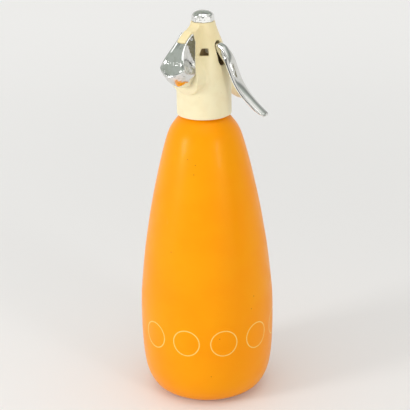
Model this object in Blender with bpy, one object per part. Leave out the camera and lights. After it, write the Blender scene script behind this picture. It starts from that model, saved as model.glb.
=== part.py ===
"""A soda siphon: lacquered bottle, plastic head, lever, spout and hinged charger holder.

Metres, +Z up. The origin is the middle of the flat foot. The lever points to +X, the
spout to +Y and the charger holder to -Y.
"""

import math

import bmesh
import bpy
from mathutils import Matrix, Vector

# Fits
clearance = 0.0003
overrun = 0.003
merge_distance = 0.00001

# Bottle
bottle_radius = 0.0561
shoulder_height = 0.2366
bottle_wall = 0.0016
foot_groove_depth = 0.0008
foot_groove_width = 0.0030
neck_radius = 0.0171
neck_wall = 0.0026
neck_height = 0.0254
thread_pitch = 0.0030
thread_turns = 3
thread_height = 0.0011
thread_land = 0.0009
thread_start = 0.0035

# Head moulding
skirt_radius = 0.0223
skirt_wall = 0.0023
skirt_depth = 0.0174
crown_height = 0.0526
head_top_radius = 0.0096
gasket_thickness = 0.0019
collar_wall = 0.0011
collar_inset = 0.0019
body_bore_radius = 0.0093
chamber_radius = 0.0085
chamber_height = 0.0170
cap_bore_radius = 0.0066
cap_seat_radius = 0.0087
cap_seat_depth = 0.0014

# Valve stack
body_height = 0.0262
flange_radius = 0.0135
flange_thickness = 0.0032
spigot_radius = 0.0070
spigot_length = 0.0032
nipple_radius = 0.0046
nipple_length = 0.0110
inlet_radius = 0.0024
valve_chamber_radius = 0.0055
seat_height = 0.0075
seat_lip_height = 0.0010
seat_lip_width = 0.0010
stem_radius = 0.0020
stem_collar_radius = 0.0046
stem_collar_thickness = 0.0015
stem_top_length = 0.0085
valve_disc_radius = 0.0044
valve_disc_thickness = 0.0018
valve_seal_thickness = 0.0011
seal_hole_radius = 0.0015
stem_nose_length = 0.0012
guide_length = 0.0055
guide_flange_radius = 0.0080
guide_flange_thickness = 0.0025
guide_seal_thickness = 0.0016
guide_seal_width = 0.0014
spring_seat_radius = 0.0040
spring_seat_thickness = 0.0009
spring_radius = 0.0031
spring_wire_radius = 0.00045
spring_turns = 8

# Cap nut
cap_width = 0.0187
cap_height = 0.0122
cap_dome = 0.0026
cap_spigot_length = 0.0071
cap_hollow_depth = 0.0085

# Dip tube, its nut and the level tube
dip_tube_radius = 0.0033
dip_tube_wall = 0.0008
dip_tube_insert = 0.0070
dip_tube_floor_gap = 0.0120
dip_nut_width = 0.0130
dip_nut_height = 0.0080
dip_nut_lip = 0.0027
level_tube_radius = 0.0085
level_tube_wall = 0.0010
level_tube_length = 0.0465

# Lever
lever_pivot_x = 0.0105
lever_pivot_height = 0.0355
lever_reach = 0.0494
lever_drop = 0.0455
lever_root_width = 0.0080
lever_belly_width = 0.0098
lever_tip_width = 0.0090
lever_root_depth = 0.0080
lever_tip_depth = 0.0030
lever_wall = 0.0016
lever_fork_step = 0.0003
lever_crown_share = 0.16
lever_channel_share = 0.9
lever_lobe_radius = 0.0020
lever_boss_radius = 0.0038
lever_pin_radius = 0.0014
lever_pin_length = 0.0158
clip_radius = 0.0024
clip_thickness = 0.0007
slot_width = 0.0087
slot_below = 0.0120
slot_above = 0.0085
slot_peak = 0.0036
window_width = 0.0063
window_height = 0.0058
window_flare = 0.0012
window_depth = 0.0081

# Spout
spout_root_radius = 0.0108
spout_reach = 0.0540
spout_drop = 0.0377
liner_radius = 0.0022
liner_wall = 0.0007
liner_setback = 0.0050
nozzle_flange = 0.0010
nozzle_length = 0.0045
nozzle_bore_radius = 0.0013
port_height = 0.0227

# Charger pod and socket
pod_face = 0.0310
pod_face_lean = 0.27
pod_width = 0.0270
pod_height = 0.0450
pod_lift = 0.0020
lug_width = 0.0100
lug_reach = 0.0079
lug_rise = 0.0027
hinge_radial = 0.0235
hinge_height = 0.0470
hinge_pin_radius = 0.0013
cheek_width = 0.0030
cheek_radius = 0.0036
socket_height = 0.0225
socket_radius = 0.0056
socket_wall = 0.0013
socket_depth = 0.0095
socket_base = 0.0035
pin_base_radius = 0.0039
pin_base_thickness = 0.0012
pin_radius = 0.0009
pin_length = 0.0056
charger_seal_thickness = 0.0020
charger_seal_bore = 0.0016
filter_radius = 0.0026
filter_thickness = 0.0012
check_ball_radius = 0.0007
gas_channel_radius = 0.0009
gas_channel_radial = 0.0120

# Charger holder
holder_radius = 0.0142
holder_top_radius = 0.0084
holder_length = 0.0330
holder_dome = 0.0030
holder_radial = 0.0372
holder_height = 0.0170
holder_tilt = math.radians(54)
dish_radius = 0.0300
dish_depth = 0.0022
scoop_radius = 0.0210
scoop_depth = 0.0048
scoop_turn = math.radians(100)
holder_bore_radius = 0.0060
holder_bore_depth = 0.0125
pad_thickness = 0.0015

# Facets
round_steps = 40
mid_steps = 32
small_steps = 20
spring_steps = 10
outer_steps = 20
inner_steps = 12
thread_steps = 16
liner_steps = 12
pod_steps = 14
lever_steps = 18
channel_steps = 13

# Levels worked out from the sizes above
neck_top_z = shoulder_height + neck_height
neck_bore_radius = neck_radius - neck_wall
skirt_rim_z = neck_top_z - skirt_depth
ceiling_z = neck_top_z + gasket_thickness + 2 * clearance
head_top_z = ceiling_z + crown_height
skirt_bore_radius = skirt_radius - skirt_wall
body_top_z = ceiling_z + body_height
flange_top_z = ceiling_z - clearance
flange_bottom_z = flange_top_z - flange_thickness
pivot_z = ceiling_z + lever_pivot_height
hinge_z = ceiling_z + hinge_height
socket_z = ceiling_z + socket_height
seat_z = ceiling_z + seat_height
port_z = ceiling_z + port_height

# Outline of the bottle, from foot to neck: radius as a share of the bottle's radius, and
# height as a share of the shoulder's height
bottle_outline_shares = (
    (0.585, 0.0),
    (0.720, 0.008),
    (0.835, 0.026),
    (0.905, 0.050),
    (0.947, 0.076),
    (0.974, 0.108),
    (0.989, 0.160),
    (0.998, 0.230),
    (1.000, 0.300),
    (0.993, 0.365),
    (0.972, 0.425),
    (0.945, 0.485),
    (0.914, 0.545),
    (0.875, 0.605),
    (0.830, 0.665),
    (0.780, 0.725),
    (0.723, 0.785),
    (0.658, 0.845),
    (0.585, 0.903),
    (0.515, 0.955),
    (0.450, 1.000),
    (0.395, 1.028),
)
# Outline of the head above its ceiling: share of the skirt's radius, share of the crown
head_outline_shares = (
    (1.000, 0.086),
    (0.984, 0.200),
    (0.945, 0.300),
    (0.885, 0.410),
    (0.800, 0.580),
    (0.692, 0.732),
    (0.560, 0.880),
)
# Ridge line of the lever from its pivot: share of the reach, share of the drop
lever_ridge_shares = (
    (0.00, 0.088),
    (0.10, 0.104),
    (0.175, 0.090),
    (0.247, 0.033),
    (0.356, -0.123),
    (0.435, -0.330),
    (0.514, -0.527),
    (0.642, -0.703),
    (0.800, -0.857),
    (0.930, -0.966),
    (1.000, -1.020),
)
# Middle line of the spout from the valve: share of the reach, share of the drop
spout_line_shares = ((0.15, 0.0), (0.44, 0.40), (0.715, 0.72), (1.0, 1.0))
spout_radius_shares = (1.0, 0.84, 0.65, 0.53)

colours = {
    "orange_lacquer": ((1.0, 0.33, 0.0), 0.35, 0.0),
    "cream_plastic": ((0.90, 0.80, 0.53), 0.35, 0.0),
    "chrome": ((0.75, 0.76, 0.74), 0.12, 1.0),
    "brass": ((0.75, 0.52, 0.20), 0.30, 1.0),
    "steel": ((0.60, 0.60, 0.60), 0.28, 1.0),
    "aluminium": ((0.72, 0.72, 0.73), 0.35, 1.0),
    "rubber": ((0.05, 0.04, 0.04), 0.75, 0.0),
    "tube_plastic": ((0.82, 0.84, 0.84), 0.40, 0.0),
}


def material(name, colour_name):
    """One Principled material for one piece."""
    colour, roughness, metallic = colours[colour_name]
    made = bpy.data.materials.new(name + "_" + colour_name)
    made.use_nodes = True
    shader = made.node_tree.nodes["Principled BSDF"]
    shader.inputs["Base Color"].default_value = (*colour, 1.0)
    shader.inputs["Roughness"].default_value = roughness
    shader.inputs["Metallic"].default_value = metallic
    made.diffuse_color = (*colour, 1.0)
    return made


def finish(bm, name, colour_name=None, place=None):
    """Turns a bmesh into an object; without a colour it is a cutter."""
    bmesh.ops.remove_doubles(bm, verts=bm.verts, dist=merge_distance)
    bmesh.ops.recalc_face_normals(bm, faces=bm.faces)
    mesh = bpy.data.meshes.new(name)
    bm.to_mesh(mesh)
    bm.free()
    made = bpy.data.objects.new(name, mesh)
    bpy.context.scene.collection.objects.link(made)
    if place is not None:
        made.matrix_world = place
    if colour_name is None:
        made.hide_render = True
        made.display_type = "WIRE"
    else:
        mesh.materials.append(material(name, colour_name))
        mesh.shade_smooth()
        mesh.set_sharp_from_angle(angle=math.radians(35))
    return made


def combine(piece, tool, operation):
    """Keeps a live Boolean of the tool on the piece."""
    step = piece.modifiers.new(operation.lower() + "_" + tool.name, "BOOLEAN")
    step.operation = operation
    step.object = tool
    step.solver = "EXACT"
    return piece


def cut(piece, tool):
    return combine(piece, tool, "DIFFERENCE")


def join(piece, tool):
    return combine(piece, tool, "UNION")


def keep(piece, tool):
    return combine(piece, tool, "INTERSECT")


def smooth_line(points, steps):
    """Points along a curve that runs through the given ones, closer where they are."""
    spans = len(points) - 1
    out = []
    for i in range(steps + 1):
        at = i * spans / steps
        k = min(int(at), spans - 1)
        t = at - k
        p0 = Vector(points[max(k - 1, 0)])
        p1 = Vector(points[k])
        p2 = Vector(points[k + 1])
        p3 = Vector(points[min(k + 2, spans)])
        tangent_1 = (p2 - p0) / 2
        tangent_2 = (p3 - p1) / 2
        a = 2 * t**3 - 3 * t**2 + 1
        b = t**3 - 2 * t**2 + t
        c = -2 * t**3 + 3 * t**2
        d = t**3 - t**2
        out.append(a * p1 + b * tangent_1 + c * p2 + d * tangent_2)
    return out


def turned(name, outline, colour_name=None, steps=mid_steps, place=None, closed=True):
    """A solid of revolution about Z from an outline of (radius, height) points."""
    bm = bmesh.new()
    verts = [bm.verts.new((r, 0, z)) for r, z in outline]
    edges = [bm.edges.new(pair) for pair in zip(verts, verts[1:])]
    if closed:
        edges.append(bm.edges.new((verts[-1], verts[0])))
    bmesh.ops.spin(
        bm,
        geom=verts + edges,
        axis=(0, 0, 1),
        cent=(0, 0, 0),
        angle=math.tau,
        steps=steps,
        use_merge=True,
    )
    return finish(bm, name, colour_name, place)


def sleeve(name, inner, outer, low, high, colour_name=None, steps=mid_steps, place=None):
    """A plain ring or short tube."""
    outline = ((outer, low), (outer, high), (inner, high), (inner, low))
    return turned(name, outline, colour_name, steps, place)


def rod(name, radius, low, high, colour_name=None, steps=small_steps, place=None):
    """A plain round bar along Z."""
    outline = ((0, low), (radius, low), (radius, high), (0, high))
    return turned(name, outline, colour_name, steps, place, closed=False)


def slab(name, outline, low, high, colour_name=None, place=None):
    """A flat outline in XY, extruded along Z."""
    bm = bmesh.new()
    face = bm.faces.new([bm.verts.new((x, y, low)) for x, y in outline])
    grown = bmesh.ops.extrude_face_region(bm, geom=[face])
    tops = [v for v in grown["geom"] if isinstance(v, bmesh.types.BMVert)]
    bmesh.ops.translate(bm, verts=tops, vec=(0, 0, high - low))
    return finish(bm, name, colour_name, place)


def loft(name, rings, colour_name=None):
    """Skins a row of rings that have the same number of points, and caps both ends."""
    bm = bmesh.new()
    rows = [[bm.verts.new(p) for p in ring] for ring in rings]
    count = len(rows[0])
    for low, high in zip(rows, rows[1:]):
        for i in range(count):
            j = (i + 1) % count
            bm.faces.new((low[i], low[j], high[j], high[i]))
    bm.faces.new(rows[0])
    bm.faces.new(rows[-1])
    return finish(bm, name, colour_name)


def across_y(centre_x, centre_z):
    """Turns a piece's Z axis to lie along +Y, through a point of the XZ plane."""
    return Matrix.Translation((centre_x, 0, centre_z)) @ Matrix.Rotation(-math.pi / 2, 4, "X")


def toward_charger(radial, height, drop=0.0):
    """Turns a piece's Z axis to point out along -Y, dropped below level by an angle."""
    return Matrix.Translation((0, -radial, height)) @ Matrix.Rotation(
        math.pi / 2 + drop, 4, "X"
    )


def socket_frame():
    """The charger socket's axis, square to the pod's leaning face, pointing out."""
    return toward_charger(pod_face_at(socket_z), socket_z, -math.atan(pod_face_lean))


def across_x(radial, height):
    """Turns a piece's Z axis to lie along +X, through a point over the -Y side."""
    return Matrix.Translation((0, -radial, height)) @ Matrix.Rotation(math.pi / 2, 4, "Y")


def side_plane():
    """Carries an outline in (distance from the axis, height) onto the -Y side."""
    return Matrix(((0, 0, 1, 0), (-1, 0, 0, 0), (0, 1, 0, 0), (0, 0, 0, 1)))


def lever_plane():
    """Carries an outline in (X, height) onto the XZ plane, thickness along Y."""
    return Matrix(((1, 0, 0, 0), (0, 0, 1, 0), (0, 1, 0, 0), (0, 0, 0, 1)))


def bottle_outline(steps):
    rows = [(bottle_radius * r, shoulder_height * z) for r, z in bottle_outline_shares]
    return [tuple(p) for p in smooth_line(rows, steps)]


def inset_outline(outline, wall):
    """Moves an outline of (radius, height) points inwards by the wall."""
    out = []
    for i, point in enumerate(outline):
        before = Vector(outline[max(i - 1, 0)])
        after = Vector(outline[min(i + 1, len(outline) - 1)])
        along = (after - before).normalized()
        out.append((point[0] - along.y * wall, point[1] + along.x * wall))
    return out


def make_bottle():
    outer = bottle_outline(outer_steps)
    inner = inset_outline(bottle_outline(inner_steps), bottle_wall)
    outer += [(neck_radius, outer[-1][1] + neck_wall), (neck_radius, neck_top_z)]
    inner = [(r, z) for r, z in inner if r > neck_bore_radius + bottle_wall]
    inner += [(neck_bore_radius, inner[-1][1] + neck_wall), (neck_bore_radius, neck_top_z)]
    groove_out = bottle_outline_shares[0][0] * bottle_radius - foot_groove_width
    groove_in = groove_out - foot_groove_width
    floor = [
        (0, bottle_wall),
        (0, 0),
        (groove_in, 0),
        (groove_in, foot_groove_depth),
        (groove_out, foot_groove_depth),
        (groove_out, 0),
    ]
    bottle = turned(
        "bottle", floor + outer + inner[::-1], "orange_lacquer", round_steps
    )
    return join(bottle, thread_ridge())


def thread_ridge():
    """The helical ridge of the neck's screw thread, sunk a little into the neck."""
    per_turn = thread_steps
    base = neck_radius - thread_height / 2
    crest = neck_radius + thread_height
    low = neck_top_z - thread_start - thread_turns * thread_pitch
    section = (
        (base, -thread_land),
        (crest, -thread_land / 2),
        (crest, thread_land / 2),
        (base, thread_land),
    )
    rings = []
    for i in range(thread_turns * per_turn + 1):
        angle = math.tau * i / per_turn
        lift = low + thread_pitch * i / per_turn
        ring = [(r * math.cos(angle), r * math.sin(angle), z + lift) for r, z in section]
        rings.append(ring)
    return loft("thread_form", rings)


def head_outline():
    rows = [(skirt_radius * r, ceiling_z + crown_height * h) for r, h in head_outline_shares]
    rows.append((head_top_radius, head_top_z))
    return rows


def head_radius_at(z):
    """The head's outer radius at a height, between the points of its outline."""
    rows = head_outline()
    for (r0, z0), (r1, z1) in zip(rows, rows[1:]):
        if z <= z1:
            return r0 + (r1 - r0) * max(z - z0, 0) / (z1 - z0)
    return head_top_radius


def head_shell(name, grow, colour_name=None):
    """The plain turned outside of the head, grown by a clearance, as a solid."""
    rows = [(r + grow, z) for r, z in head_outline()]
    outline = [(0, skirt_rim_z), (skirt_radius + grow, skirt_rim_z)]
    outline += rows + [(0, head_top_z + grow)]
    return turned(name, outline, colour_name, round_steps, closed=False)


def pod_front():
    """The pod seen from the front: a teardrop, as (sideways, height) points."""
    top = ceiling_z + pod_lift + pod_height
    centre = ceiling_z + pod_lift + pod_width / 2
    radius = pod_width / 2
    half_top = lug_width / 2
    lean = math.atan2(pod_width / 2 - half_top, top - centre)
    outline = [(-half_top, top)]
    for i in range(pod_steps + 1):
        angle = math.pi - lean + (math.pi + 2 * lean) * i / pod_steps
        outline.append((radius * math.cos(angle), centre + radius * math.sin(angle)))
    outline.append((half_top, top))
    return outline


def pod_face_at(z):
    """How far from the axis the pod's leaning face is at a height."""
    return pod_face - pod_face_lean * (z - ceiling_z - pod_lift + overrun)


def make_pod():
    front = Matrix(((1, 0, 0, 0), (0, 0, -1, 0), (0, 1, 0, 0), (0, 0, 0, 1)))
    inner = body_bore_radius - skirt_wall
    pod = slab("pod_form", pod_front(), inner, pod_face + overrun, place=front)
    low = ceiling_z + pod_lift - overrun
    top = low + pod_height + 2 * overrun
    side = ((0, low), (pod_face_at(low), low), (pod_face_at(top), top), (0, top))
    half = pod_width / 2 + overrun
    return keep(pod, slab("pod_face", side, -half, half, place=side_plane()))


def lug_outline():
    """Side view of the hinge lug, rounded about the hinge pin."""
    start = math.atan2(lug_rise, lug_reach)
    turn = math.radians(130)
    rounds = []
    for i in range(7):
        angle = start - turn * i / 6
        at_r = hinge_radial + lug_reach * math.cos(angle)
        at_z = hinge_z + lug_reach * math.sin(angle)
        rounds.append((at_r, at_z))
    top = (cap_seat_radius + clearance, head_top_z - cap_seat_depth)
    shoulder = (hinge_radial - lug_rise, hinge_z + lug_rise * 1.5)
    root = (body_bore_radius, hinge_z - lug_width)
    return [top, root] + rounds[::-1] + [shoulder]


def head_void():
    """The hollow inside of the head: skirt, valve bore, lever chamber and cap seat."""
    chamber_top = body_top_z + chamber_height
    outline = [
        (0, skirt_rim_z - overrun),
        (skirt_bore_radius, skirt_rim_z - overrun),
        (skirt_bore_radius, ceiling_z),
        (body_bore_radius, ceiling_z),
        (body_bore_radius, body_top_z + clearance),
        (chamber_radius, body_top_z + clearance),
        (chamber_radius, chamber_top - clearance),
        (cap_bore_radius, chamber_top + clearance),
        (cap_bore_radius, head_top_z - cap_seat_depth),
        (cap_seat_radius, head_top_z - cap_seat_depth),
        (cap_seat_radius, head_top_z + overrun),
        (0, head_top_z + overrun),
    ]
    return turned("head_void", outline, None, round_steps, closed=False)


def make_head():
    head = head_shell("head_housing", 0, "cream_plastic")
    join(head, make_pod())
    half_lug = lug_width / 2
    join(head, slab("lug_form", lug_outline(), -half_lug, half_lug, place=side_plane()))
    cut(head, head_void())
    cut(head, lever_slot())
    for side in (-1, 1):
        cut(head, window(side))
    pin_hole = rod(
        "lever_pin_hole",
        lever_pin_radius + clearance,
        -lever_pin_length / 2 - clearance,
        lever_pin_length / 2 + clearance,
        place=across_y(lever_pivot_x, pivot_z),
    )
    cut(head, pin_hole)
    hinge_hole = rod(
        "hinge_hole",
        hinge_pin_radius + clearance,
        -lug_width,
        lug_width,
        place=across_x(hinge_radial, hinge_z),
    )
    cut(head, hinge_hole)
    socket_hole = rod(
        "socket_hole",
        socket_radius + clearance,
        -socket_depth - socket_base,
        overrun,
        steps=mid_steps,
        place=socket_frame(),
    )
    cut(head, socket_hole)
    cut(head, gas_channel())
    cut(head, tube_along("liner_hole", liner_radius + clearance, 0.0, 1.0))
    return head


def gas_channel():
    """The passage that leads gas from the socket down into the bottle's neck."""
    place = Matrix.Translation((0, -gas_channel_radial, 0))
    low = flange_bottom_z - overrun
    return rod("gas_channel", gas_channel_radius, low, socket_z, place=place)


def lever_slot():
    """The peaked slot through which the lever leaves the head."""
    half = slot_width / 2
    low = pivot_z - slot_below
    high = pivot_z + slot_above
    outline = (
        (-half, low + half / 2),
        (-half / 2, low),
        (half / 2, low),
        (half, low + half / 2),
        (half, high - slot_peak),
        (0, high),
        (-half, high - slot_peak),
    )
    frame = Matrix(((0, 0, 1, 0), (1, 0, 0, 0), (0, 1, 0, 0), (0, 0, 0, 1)))
    return slab("lever_slot", outline, valve_chamber_radius, skirt_radius + overrun, place=frame)


def window(side):
    """One of the two pockets beside the lever pin, a little wider at the bottom."""
    half = window_width / 2
    low = pivot_z - window_height / 2
    high = pivot_z + window_height / 2
    outline = (
        (lever_pivot_x - half - window_flare / 2, low),
        (lever_pivot_x + half + window_flare / 2, low),
        (lever_pivot_x + half - window_flare / 2, high),
        (lever_pivot_x - half + window_flare / 2, high),
    )
    name = "window_left" if side > 0 else "window_right"
    start = sorted((side * window_depth, side * (skirt_radius + overrun)))
    return slab(name, outline, start[0], start[1], place=lever_plane())


def spout_points():
    top = port_z
    rows = [(spout_reach * a, top - spout_drop * b) for a, b in spout_line_shares]
    return [Vector((0, y, z)) for y, z in rows]


def spout_line(steps):
    return smooth_line(spout_points(), steps)


def ring_about(centre, along, radius, count):
    """Points of a circle square to a direction in the YZ plane."""
    side = Vector((1, 0, 0))
    up = side.cross(along).normalized()
    out = []
    for i in range(count):
        angle = math.tau * i / count
        out.append(centre + radius * (math.cos(angle) * side + math.sin(angle) * up))
    return out


def line_part(start, end, steps=8):
    """The stretch of the spout's middle line between two shares of it, with directions."""
    fine = spout_line(steps * 4)
    picked = []
    for i in range(steps + 1):
        at = (start + (end - start) * i / steps) * (len(fine) - 1)
        k = min(int(at), len(fine) - 2)
        point = fine[k].lerp(fine[k + 1], at - k)
        picked.append((point, (fine[k + 1] - fine[k]).normalized()))
    return picked


def tube_along(name, radius, start, end, colour_name=None):
    parts = line_part(start, end)
    rings = [ring_about(p, d, radius, liner_steps) for p, d in parts]
    first = parts[0]
    if start == 0.0:
        back = first[0] - first[1] * liner_setback
        rings.insert(0, ring_about(back, first[1], radius, liner_steps))
    return loft(name, rings, colour_name)


def spout_length():
    line = spout_line(40)
    return sum((b - a).length for a, b in zip(line, line[1:]))


def make_spout():
    """The moulded beak, its liner and the jet in its tip."""
    parts = line_part(0.0, 1.0, 10)
    radii = smooth_line([(s * spout_root_radius, 0) for s in spout_radius_shares], 10)
    rings = [ring_about(p, d, r.x, mid_steps) for (p, d), r in zip(parts, radii)]
    tip, along = parts[-1]
    tip_radius = radii[-1].x
    for i in range(1, 4):
        angle = math.pi / 2 * i / 4
        centre = tip + along * tip_radius * math.sin(angle) / 2
        radius = tip_radius * math.cos(angle)
        rings.append(ring_about(centre, along, max(radius, liner_radius * 1.5), mid_steps))
    spout = loft("spout", rings, "cream_plastic")
    cut(spout, head_shell("spout_seat", clearance))
    cut(spout, tube_along("spout_bore", liner_radius + clearance, 0.0, 1.0))
    end_cut = tip + along * (tip_radius - nozzle_length)
    nozzle_frame = Matrix.Translation(end_cut) @ along.to_track_quat("Z", "Y").to_matrix().to_4x4()
    pocket = rod(
        "nozzle_pocket",
        liner_radius + nozzle_flange + clearance,
        0,
        nozzle_length + overrun,
        place=nozzle_frame,
    )
    cut(spout, pocket)
    outline = (
        (nozzle_bore_radius, clearance),
        (liner_radius + nozzle_flange, clearance),
        (liner_radius + nozzle_flange, nozzle_length * 0.8),
        (liner_radius, nozzle_length),
        (nozzle_bore_radius, nozzle_length),
    )
    turned("spout_nozzle", outline, "steel", small_steps, nozzle_frame)
    reach = spout_length()
    stop = 1.0 - (nozzle_length - tip_radius + clearance) / reach
    start = liner_setback * 0.5 / reach
    liner = tube_along("spout_liner", liner_radius, start, min(stop, 1.0), "steel")
    cut(liner, tube_along("liner_bore", liner_radius - liner_wall, 0.0, 1.0))


def make_valve():
    low = flange_bottom_z
    body_outline = (
        (body_bore_radius - clearance, flange_top_z),
        (body_bore_radius - clearance, body_top_z),
        (valve_chamber_radius, body_top_z),
        (valve_chamber_radius, seat_z),
        (inlet_radius + seat_lip_width, seat_z),
        (inlet_radius + seat_lip_width, seat_z + seat_lip_height),
        (inlet_radius, seat_z + seat_lip_height),
        (inlet_radius, low - nipple_length + dip_tube_insert),
        (dip_tube_radius + clearance, low - nipple_length + dip_tube_insert),
        (dip_tube_radius + clearance, low - nipple_length),
        (nipple_radius, low - nipple_length),
        (nipple_radius, low - spigot_length),
        (spigot_radius, low - spigot_length),
        (spigot_radius, low),
        (flange_radius, low),
        (flange_radius, flange_top_z),
    )
    body = turned("valve_body", body_outline, "brass", mid_steps)
    cut(body, tube_along("valve_port", liner_radius + clearance, 0.0, 1.0))
    cut(body, gas_channel())

    guide_low = body_top_z - guide_length
    guide_outline = (
        (stem_radius + clearance, guide_low),
        (valve_chamber_radius - clearance, guide_low),
        (valve_chamber_radius - clearance, body_top_z + clearance),
        (guide_flange_radius, body_top_z + clearance),
        (guide_flange_radius, body_top_z + clearance + guide_flange_thickness),
        (stem_radius + clearance, body_top_z + clearance + guide_flange_thickness),
    )
    turned("stem_guide", guide_outline, "brass", small_steps)
    seal_top = guide_low - clearance
    sleeve(
        "stem_seal",
        stem_radius + clearance,
        stem_radius + clearance + guide_seal_width,
        seal_top - guide_seal_thickness,
        seal_top,
        "rubber",
        small_steps,
    )
    seal_low = seat_z + seat_lip_height + clearance
    disc_low = seal_low + valve_seal_thickness + clearance
    disc_top = disc_low + valve_disc_thickness
    collar_low = pivot_z + lever_lobe_radius + clearance
    collar_top = collar_low + stem_collar_thickness
    nose = seal_hole_radius - clearance
    stem_outline = (
        (0, seal_low - stem_nose_length),
        (nose, seal_low - stem_nose_length),
        (nose, disc_low),
        (valve_disc_radius, disc_low),
        (valve_disc_radius, disc_top),
        (stem_radius, disc_top),
        (stem_radius, collar_low),
        (stem_collar_radius, collar_low),
        (stem_collar_radius, collar_top),
        (stem_radius, collar_top),
        (stem_radius, collar_top + stem_top_length),
        (0, collar_top + stem_top_length),
    )
    turned("valve_stem", stem_outline, "steel", small_steps, closed=False)
    sleeve(
        "valve_seal",
        seal_hole_radius,
        valve_disc_radius - clearance,
        seal_low,
        seal_low + valve_seal_thickness,
        "rubber",
        small_steps,
    )
    spring_low = collar_top + clearance
    sleeve(
        "spring_seat",
        stem_radius + clearance,
        spring_seat_radius,
        spring_low,
        spring_low + spring_seat_thickness,
        "brass",
        small_steps,
    )
    cap_low = head_top_z + clearance
    spring_top = cap_low + cap_hollow_depth - clearance
    make_spring(spring_low + spring_seat_thickness + clearance, spring_top)


def make_spring(low, high):
    """The coil that pushes the valve stem down onto its seat."""
    rings = []
    steps = spring_turns * spring_steps
    rise = (high - low - 2 * spring_wire_radius) / steps
    for i in range(steps + 1):
        angle = math.tau * i / spring_steps
        centre = Vector(
            (
                spring_radius * math.cos(angle),
                spring_radius * math.sin(angle),
                low + spring_wire_radius + rise * i,
            )
        )
        out = Vector((math.cos(angle), math.sin(angle), 0))
        ring = []
        for k in range(6):
            turn = math.tau * k / 6
            ring.append(
                centre
                + out * spring_wire_radius * math.cos(turn)
                + Vector((0, 0, spring_wire_radius * math.sin(turn)))
            )
        rings.append(ring)
    loft("valve_spring", rings, "steel")


def make_cap():
    low = head_top_z + clearance
    spigot = cap_bore_radius - clearance
    hollow = spring_radius + spring_wire_radius + 2 * clearance
    corner = cap_width / 2
    top = low + cap_height
    outline = (
        (0, low + cap_hollow_depth),
        (hollow, low + cap_hollow_depth),
        (hollow, low - cap_spigot_length),
        (spigot, low - cap_spigot_length),
        (spigot, low),
        (corner, low),
        (corner, top - 2 * cap_dome),
        (corner - cap_dome / 2, top - cap_dome),
        (corner * 0.65, top - cap_dome / 3),
        (0, top),
    )
    cap = turned("cap_nut", outline, "chrome", round_steps, closed=False)
    flats = []
    for i in range(8):
        angle = math.tau * (i + 0.5) / 8
        flats.append((corner * math.cos(angle), corner * math.sin(angle)))
    keep(cap, slab("cap_flats", flats, low - cap_spigot_length - overrun, top + overrun))
    seat = head_top_z - cap_seat_depth + clearance
    sleeve(
        "cap_washer",
        cap_bore_radius,
        cap_seat_radius - clearance,
        seat,
        head_top_z,
        "rubber",
        mid_steps,
    )


def make_neck_parts():
    sleeve(
        "neck_gasket",
        neck_bore_radius + clearance,
        neck_radius,
        neck_top_z + clearance,
        neck_top_z + clearance + gasket_thickness,
        "rubber",
        round_steps,
    )
    collar_out = skirt_bore_radius - clearance
    sleeve(
        "neck_collar",
        collar_out - collar_wall,
        collar_out,
        skirt_rim_z + collar_inset,
        ceiling_z - clearance,
        "aluminium",
        round_steps,
    )


def make_tubes():
    nipple_low = flange_bottom_z - nipple_length
    tube_top = nipple_low + dip_tube_insert - clearance
    sleeve(
        "dip_tube",
        dip_tube_radius - dip_tube_wall,
        dip_tube_radius,
        bottle_wall + dip_tube_floor_gap,
        tube_top,
        "tube_plastic",
        small_steps,
    )
    nut_low = nipple_low - dip_nut_lip
    hexagon = []
    for i in range(6):
        angle = math.tau * i / 6
        hexagon.append((dip_nut_width / 2 * math.cos(angle), dip_nut_width / 2 * math.sin(angle)))
    nut = slab("dip_tube_nut", hexagon, nut_low, nut_low + dip_nut_height, "brass")
    cut(nut, rod("nut_thread", nipple_radius + clearance, nipple_low - clearance, nut_low + dip_nut_height + overrun))
    cut(nut, rod("nut_hole", dip_tube_radius + clearance, nut_low - overrun, nipple_low + overrun))
    level_top = flange_bottom_z - clearance
    sleeve(
        "level_tube",
        spigot_radius + clearance,
        level_tube_radius,
        level_top - level_tube_length,
        level_top,
        "tube_plastic",
        mid_steps,
    )


def lever_stations(steps):
    """Points of the lever's ridge line with their direction downwards and their share."""
    points = []
    for a, b in lever_ridge_shares:
        points.append(Vector((lever_pivot_x + lever_reach * a, 0, pivot_z + lever_drop * b)))
    line = smooth_line(points, steps)
    out = []
    for i, point in enumerate(line):
        along = (line[min(i + 1, steps)] - line[max(i - 1, 0)]).normalized()
        down = Vector((along.z, 0, -along.x))
        out.append((point, down if down.z < 0 else -down, i / steps))
    return out


def lever_width(share):
    if share < 0.5:
        width = lever_root_width + (lever_belly_width - lever_root_width) * share * 2
    else:
        width = lever_belly_width + (lever_tip_width - lever_belly_width) * (share - 0.5) * 2
    if share > 0.9:
        width *= 1 - 3.5 * (share - 0.9)
    return width - 2 * lever_fork_step


def lever_depth(share):
    return lever_root_depth + (lever_tip_depth - lever_root_depth) * min(share * 1.4, 1.0)


def lever_outer(point, down, share):
    """A solid section with a crowned top, square to the ridge line."""
    half = lever_width(share) / 2
    depth = lever_depth(share)
    crown = lever_crown_share * min(depth, 2 * half)
    rows = (
        (-half, depth),
        (-half, crown * 1.6),
        (-half * 0.72, crown * 0.45),
        (0, 0),
        (half * 0.72, crown * 0.45),
        (half, crown * 1.6),
        (half, depth),
    )
    return [point + Vector((0, y, 0)) + down * d for y, d in rows]


def lever_channel(point, down, share):
    """The hollow under the lever's top, open below."""
    inner = lever_width(share) / 2 - lever_wall
    depth = lever_depth(share)
    roof = lever_crown_share * depth + lever_wall
    low = depth + lever_wall / 2
    rows = ((-inner, low), (-inner, roof), (inner, roof), (inner, low))
    return [point + Vector((0, y, 0)) + down * d for y, d in rows]


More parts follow.
